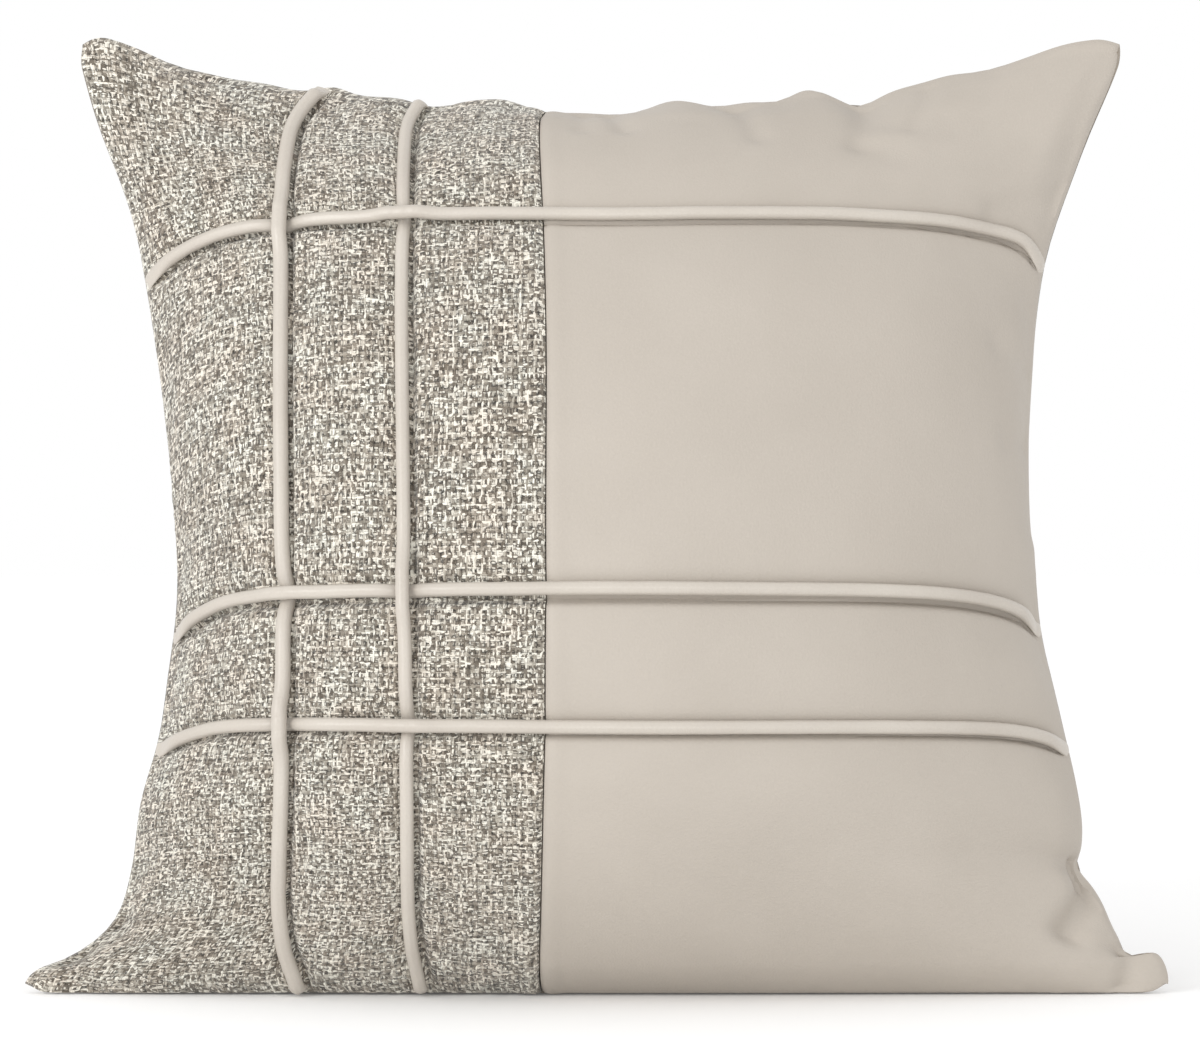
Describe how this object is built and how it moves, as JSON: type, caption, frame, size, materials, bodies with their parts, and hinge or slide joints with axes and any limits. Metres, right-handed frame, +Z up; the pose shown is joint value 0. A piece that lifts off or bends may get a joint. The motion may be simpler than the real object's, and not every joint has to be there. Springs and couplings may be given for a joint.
{
  "type": "throw pillow",
  "caption": "Square throw pillow with a woven panel joined to smooth leather, crossed by wrapped cords laced over and under, zipped at the back.",
  "frame": {"origin": "centre of the pillow's bounding box on the ground that it stands on", "axes": "+Z up; +X to the right and along the longest side, seen from the front; the front with the cords faces -Y"},
  "size_m": [0.444, 0.1876, 0.382],
  "materials": {
    "woven_tweed": "matte",
    "faux_leather": "matte",
    "back_suede": "matte",
    "cord_leather": "satin",
    "cotton_core": "matte",
    "sewing_thread": "matte",
    "zip_tape": "matte",
    "nylon_coil": "satin",
    "zinc_alloy": "satin",
    "pull_leather": "satin",
    "white_thread": "matte",
    "insert_cloth": "matte",
    "polyester_fibre": "matte",
    "label_satin": "satin"
  },
  "bodies": {
    "cushion": {"front_tweed_panel": "woven_tweed", "front_leather_panel": "faux_leather", "back_upper_panel": "back_suede", "back_lower_panel": "back_suede", "upright_cord_left_wrap": "cord_leather", "upright_cord_right_wrap": "cord_leather", "cross_cord_low_wrap": "cord_leather", "cross_cord_mid_wrap": "cord_leather", "cross_cord_high_wrap": "cord_leather", "upright_cord_left_core": "cotton_core", "upright_cord_right_core": "cotton_core", "cross_cord_low_core": "cotton_core", "cross_cord_mid_core": "cotton_core", "cross_cord_high_core": "cotton_core", "perimeter_seam_thread": "sewing_thread", "panel_join_thread": "sewing_thread", "zip_topstitch_thread": "sewing_thread", "zip_tape_upper": "zip_tape", "zip_tape_lower": "zip_tape", "zip_coil_upper": "nylon_coil", "zip_coil_lower": "nylon_coil", "zip_end_stops_closed": "zinc_alloy", "zip_end_stop_open": "zinc_alloy", "insert_front_shell": "insert_cloth", "insert_back_shell": "insert_cloth", "insert_seam_thread": "white_thread", "fibre_fill": "polyester_fibre", "care_label": "label_satin"},
    "zip_slider": {"zip_slider": "zinc_alloy"},
    "zip_pull": {"zip_pull_tab": "pull_leather"}
  },
  "joints": [
    {"name": "zip_slide", "type": "slide", "parent": "cushion", "child": "zip_slider", "axis": [1, 0, 0], "range_m": [0, 0.28]},
    {"name": "pull_flip", "type": "hinge", "parent": "zip_slider", "child": "zip_pull", "pos_m": [-0.14, 0.07445, 0.036], "axis": [0, 0, 1], "range_deg": [0, 180]}
  ]
}
